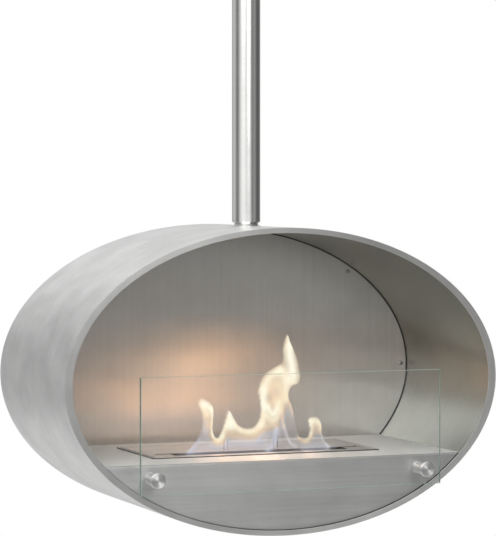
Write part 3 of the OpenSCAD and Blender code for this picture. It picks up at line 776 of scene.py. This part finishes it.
# %% Give the other nodes their finishes
KEPT = {
    "hearth": ["hearth_shelf"],
    "plate": ["burner_plate"],
    "lid": ["snuffer_lid"],
    "guide": ["lid_guides"],
    # The flange behind the back panel's gap is near black: painted shade.
    "black_steel": ["panel_flange"],
    "plain": ["shelf_rails", "saddle_plate", "rear_frame", "ceiling_spigot",
              "ceiling_plate", "spindle", "standoff_studs", "spill_tray", "fuel_reservoir"],
    "zinc": ["pole_cross_bolt", "pole_cross_nut", "spindle_nut", "spindle_lock_pin", "standoff_nuts"],
    "dark_screw": ["cover_grub_screw"],
    "bronze": ["thrust_washer"],
    "rubber": ["glass_gaskets"],
    "wool": ["absorbent_pad"],
}
for key, names in KEPT.items():
    for name in names:
        mesh = nodes[name].data
        mesh.materials.clear()
        mesh.materials.append(finish[key])
print("nodes with a finish:", sum(len(names) for names in KEPT.values()))

# %% [markdown]
# ## Flames
# Ethanol burns as one curtain of fire along the slot, drawn up into tongues. It
# is clear and faintly blue at the foot, peach where it is thin, and creamy
# white along its upper edge and in its core. The curtain is a sheet cut to its
# outline, doubled and bulged to a lens. Bright strokes follow the upper edge
# and the folds inside. At each point of the mesh two numbers are kept: warmth
# for the colour, and cover for how much hides what is behind.

# %% Smooth lines and distances
def smooth_line(points, count, closed=False):
    """Points on a smooth curve through the given ones (Catmull-Rom)."""
    line = []
    size = len(points)
    spans = size if closed else size - 1

    def point(j):
        return Vector(points[j % size if closed else max(0, min(spans, j))])

    for i in range(count):
        place = spans * i / (count if closed else count - 1)
        k = min(int(place), spans - 1)
        t = place - k
        before, here, there, after = (point(j) for j in (k - 1, k, k + 1, k + 2))
        line.append(0.5 * (2 * here + (there - before) * t
                           + (2 * before - 5 * here + 4 * there - after) * t * t
                           + (3 * here - before - 3 * there + after) * t ** 3))
    return line


def distance_to(line):
    """A function that gives a place's distance to the nearest point of a line."""
    tree = KDTree(len(line))
    for i, (x, h) in enumerate(line):
        tree.insert((x, h, 0), i)
    tree.balance()
    return lambda x, h: tree.find((x, h, 0))[2]


def ease(low, high, value):
    """0 below low, 1 above high, and smooth between them."""
    t = max(0.0, min(1.0, (value - low) / (high - low)))
    return t * t * (3 - 2 * t)


# %% The look of burning ethanol
FIRELIGHT = (1.0, 0.48, 0.13, 1)
FOOTLIGHT = (0.95, 0.93, 1.0, 1)
FIRE_POWER = 12.5
FOOT_POWER = 2.0
SEEN_POWER = 1.12
WISP_SCALE = (60, 60, 14)
WISP = 0.05


def flame_look():
    """Glowing and see-through, by the warmth and cover kept on the mesh."""
    material, tree = new_material("burning_ethanol")
    warmth = add(tree, "ShaderNodeAttribute", "Fac", {"attribute_name": "warmth"})
    cover = add(tree, "ShaderNodeAttribute", "Fac", {"attribute_name": "cover"})
    place = add(tree, "ShaderNodeMapping", Vector=add(tree, "ShaderNodeTexCoord", "Object"),
                Scale=WISP_SCALE)
    wisps = add(tree, "ShaderNodeTexNoise", i0=place, Scale=1.0, Detail=2.0)
    wisps = add(tree, "ShaderNodeMapRange", i0=wisps, i1=0.3, i2=0.7, i3=-WISP, i4=WISP)
    warmth = maths(tree, "ADD", warmth, wisps)
    colour = ramp(tree, warmth, [
        (0.00, (0.60, 0.68, 0.88)), (0.25, (0.80, 0.78, 0.84)), (0.45, (0.88, 0.66, 0.46)),
        (0.65, (0.95, 0.80, 0.56)), (0.82, (1.00, 0.94, 0.74)), (1.00, (1.00, 1.00, 0.86)),
    ])
    path = tree.nodes.new("ShaderNodeLightPath")
    seen = maths(tree, "MAXIMUM", path.outputs["Is Camera Ray"], path.outputs["Is Transmission Ray"])
    light = blend(tree, seen, blend(tree, warmth, FOOTLIGHT, FIRELIGHT), colour)
    shed = maths(tree, "MULTIPLY", maths(tree, "POWER", warmth, 2.0), FIRE_POWER)
    shed = maths(tree, "ADD", shed, maths(tree, "MULTIPLY_ADD", warmth, -FOOT_POWER, FOOT_POWER))
    power = add(tree, "ShaderNodeMix", 0, i0=seen, i2=shed, i3=SEEN_POWER)
    close_material(tree, add(tree, "ShaderNodeBsdfPrincipled", Base_Color=(0, 0, 0, 1), Roughness=1.0,
                             Specular_IOR_Level=0.0, Emission_Color=light, Emission_Strength=power,
                             Alpha=cover))
    return material


finish["flame"] = flame_look()

# %% The curtain's outline and its strokes, in millimetres across and above the shelf
OUTLINE = [
    (-160, 0), (-150, 14), (-136, 28), (-126, 45), (-122, 64), (-125, 85), (-132, 99), (-131, 109),
    (-125, 113), (-113, 109), (-102, 100), (-97.5, 88), (-98, 68), (-99, 48), (-95, 36),
    (-91, 33.5), (-87, 36), (-80, 50), (-75, 68), (-70, 85), (-67, 88), (-62, 83), (-55, 70),
    (-47, 58), (-37, 52), (-26, 50.5), (-14, 53), (-5, 62), (0, 77), (0, 95), (-4, 113), (-9, 122),
    (-5, 129), (-2, 141), (4, 152), (18, 163), (34, 171), (46, 178), (50.5, 187), (50, 205),
    (55, 225), (61, 237), (67, 221), (75, 201), (81, 184), (85, 160), (84.5, 143), (79, 134.5),
    (69, 131), (62.5, 120), (63, 105), (69, 93), (73, 76), (76, 56), (82, 36), (88, 27), (94, 25),
    (101, 28), (106, 41), (104, 54), (101, 62), (107, 67.5), (117, 69), (127, 64.5), (133, 52),
    (134, 37), (140, 18), (150, 0),
]
WHITE, CREAM, GOLD, PEACH, PALE, BLUE = 1.0, 0.86, 0.68, 0.47, 0.27, 0.05
STROKES = [
    # width, cover, warmth, line
    (11, 0.99, WHITE, [(-124, 103), (-114, 98), (-106, 90)]),
    (8, 0.96, CREAM, [(-123, 96), (-119, 87), (-115, 80)]),
    (6, 0.97, CREAM, [(-103, 90), (-102.5, 72), (-102.5, 52), (-99, 38)]),
    (11, 0.88, PEACH, [(-116, 82), (-114, 70), (-112, 58)]),
    (9, 0.40, PALE, [(-116, 48), (-116, 30)]),
    (9, 0.97, CREAM, [(-100, 40), (-92, 28), (-84, 36)]),
    (9, 0.62, PEACH, [(-98, 24), (-82, 22)]),
    (8, 0.97, CREAM, [(-85, 34), (-78, 50), (-72, 62)]),
    (12, 0.99, WHITE, [(-67, 80), (-67, 66), (-66, 56)]),
    (11, 0.98, CREAM, [(-60, 64), (-51, 52), (-38, 45), (-24, 43), (-10, 47), (-1, 58)]),
    (11, 0.70, PEACH, [(-66, 40), (-54, 34), (-36, 31), (-16, 32), (0, 42)]),
    (8, 0.97, CREAM, [(-2, 55), (4, 68), (5, 84), (4, 100)]),
    (12, 0.99, WHITE, [(3, 92), (3, 110), (5, 126)]),
    (11, 0.98, CREAM, [(4, 128), (12, 146), (28, 157), (42, 165)]),
    (16, 0.99, WHITE, [(62, 208), (63, 190), (66, 174), (68, 154)]),
    (9, 0.98, CREAM, [(61, 228), (62, 212)]),
    (15, 0.98, CREAM, [(44, 158), (56, 146), (66, 140)]),
    (11, 0.95, CREAM, [(52, 138), (53, 122), (53, 108)]),
    (20, 0.93, GOLD, [(22, 138), (36, 134), (44, 120), (40, 104)]),
    (14, 0.90, PEACH, [(20, 126), (28, 112), (26, 100)]),
    (9, 0.80, PEACH, [(55, 112), (60, 100), (66, 90), (69, 80)]),
    (10, 0.98, WHITE, [(14, 92), (20, 82), (26, 76), (33, 86), (37, 98)]),
    (9, 0.90, CREAM, [(12, 74), (22, 64), (34, 68), (41, 84)]),
    (11, 0.72, GOLD, [(4, 60), (12, 52), (22, 54), (32, 54)]),
    (12, 0.45, PALE, [(-4, 34), (18, 34), (36, 38)]),
    (3.6, 0.85, PEACH, [(44, 98), (45.5, 80), (46.5, 66), (49, 50)]),
    (3.4, 0.66, PALE, [(49, 52), (53, 40), (58, 27), (64, 17), (74, 11)]),
    (2.8, 0.45, PALE, [(70, 82), (74, 62), (78, 44), (83, 32)]),
    (7, 0.80, GOLD, [(84, 27), (92, 21), (99, 23), (104, 33)]),
    (6, 0.93, CREAM, [(106, 58), (108, 46), (106, 34)]),
    (11, 0.95, CREAM, [(108, 61), (117, 60), (126, 55), (130, 46)]),
    (4.5, 0.65, PALE, [(132, 48), (132, 34), (137, 20), (145, 6)]),
    (10, 0.50, PEACH, [(118, 50), (120, 40)]),
    (6, 0.62, BLUE, [(-130, 31), (-142, 18), (-153, 5)]),
    (10, 0.42, BLUE, [(-140, 8), (-112, 14), (-92, 12)]),
    (14, 0.48, BLUE, [(-72, 20), (-40, 19), (-6, 18), (14, 12)]),
    (5, 0.66, BLUE, [(14, 4), (27, 16), (31, 34), (33, 48)]),
    (10, 0.42, BLUE, [(92, 4), (118, 8), (142, 4)]),
]
VEIL = 0.20
VEIL_WARMTH = 0.20
SOFT_EDGE = 2.2
FOOT_FADE = (-4, 4)
FULL_COVER = 0.99

# %% Cut, bulge and colour the curtain
shelf_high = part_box("hearth_shelf")[1]
slot_y = -72 * MM
EDGE_POINTS = 420
SHORE_POINTS = 2400
STROKE_POINTS = 120
CELL = 2.5
BULGE = 11
BULGE_REACH = 1.4 * BULGE
AT_EDGE = 0.02
SWAY_ACROSS, WAVE_ACROSS = 3, 23
SWAY_UP, WAVE_UP = 2, 31
shore = distance_to(smooth_line(OUTLINE, SHORE_POINTS, closed=True))
strokes = [(width, cover, warmth, distance_to(smooth_line(line, STROKE_POINTS)))
           for width, cover, warmth, line in STROKES]


def curtain_look(x, h):
    """Warmth at a place on the curtain, and the cover of each of its two sides there."""
    clear, glow, weight = 1 - VEIL, VEIL_WARMTH * VEIL, VEIL
    for width, strength, warmth, away in strokes:
        share = strength * math.exp(-(away(x, h) / width) ** 2)
        clear *= 1 - share
        glow += share * share * warmth
        weight += share * share
    cover = (1 - clear) * ease(0, SOFT_EDGE, shore(x, h)) * ease(*FOOT_FADE, h)
    return glow / weight, 1 - math.sqrt(1 - min(cover, FULL_COVER))


def fire_sheet(name, outline, count, y, look, edge):
    """A lens-shaped sheet of fire inside an outline."""
    bm = bmesh.new()
    line = [bm.verts.new((x, 0, h)) for x, h in smooth_line(outline, count, closed=True)]
    for first, second in zip(line, line[1:] + line[:1]):
        bm.edges.new((first, second))
    bmesh.ops.triangle_fill(bm, use_beauty=True, edges=bm.edges[:])
    for axis in (0, 2):
        low = min(vert.co[axis] for vert in bm.verts)
        high = max(vert.co[axis] for vert in bm.verts)
        normal = Vector((axis == 0, 0, axis == 2))
        for step in range(1, int((high - low) / CELL)):
            bmesh.ops.bisect_plane(bm, geom=bm.verts[:] + bm.edges[:] + bm.faces[:], dist=1e-4,
                                   plane_co=normal * (low + step * CELL), plane_no=normal)
    far = bmesh.ops.duplicate(bm, geom=bm.verts[:] + bm.edges[:] + bm.faces[:])["vert_map"]
    for vert in bm.verts:
        side = -1 if vert in far else 1
        reach = min(1.0, edge(vert.co.x, vert.co.z) / BULGE_REACH)
        sway = SWAY_ACROSS * math.sin(vert.co.x / WAVE_ACROSS) + SWAY_UP * math.sin(vert.co.z / WAVE_UP)
        round_out = BULGE * math.sqrt(1 - (1 - reach) ** 2) if reach > AT_EDGE else 0.0
        vert.co.y = y + sway + side * round_out
    bmesh.ops.scale(bm, vec=(MM, MM, MM), verts=bm.verts)
    bmesh.ops.translate(bm, vec=(0, 0, shelf_high.z), verts=bm.verts)
    piece = as_piece(name, bm, "burner", finish["flame"])
    values = [look(v.co.x / MM, (v.co.z - shelf_high.z) / MM) for v in piece.data.vertices]
    for label, numbers in zip(("warmth", "cover"), zip(*values)):
        piece.data.attributes.new(label, "FLOAT", "POINT").data.foreach_set("value", list(numbers))
    return piece


curtain = fire_sheet("flame_curtain", OUTLINE, EDGE_POINTS, slot_y / MM, curtain_look, shore)
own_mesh(curtain)
print("flame curtain:", len(curtain.data.vertices), "points, tip at",
      round(max(v.co.z for v in curtain.data.vertices), 3))
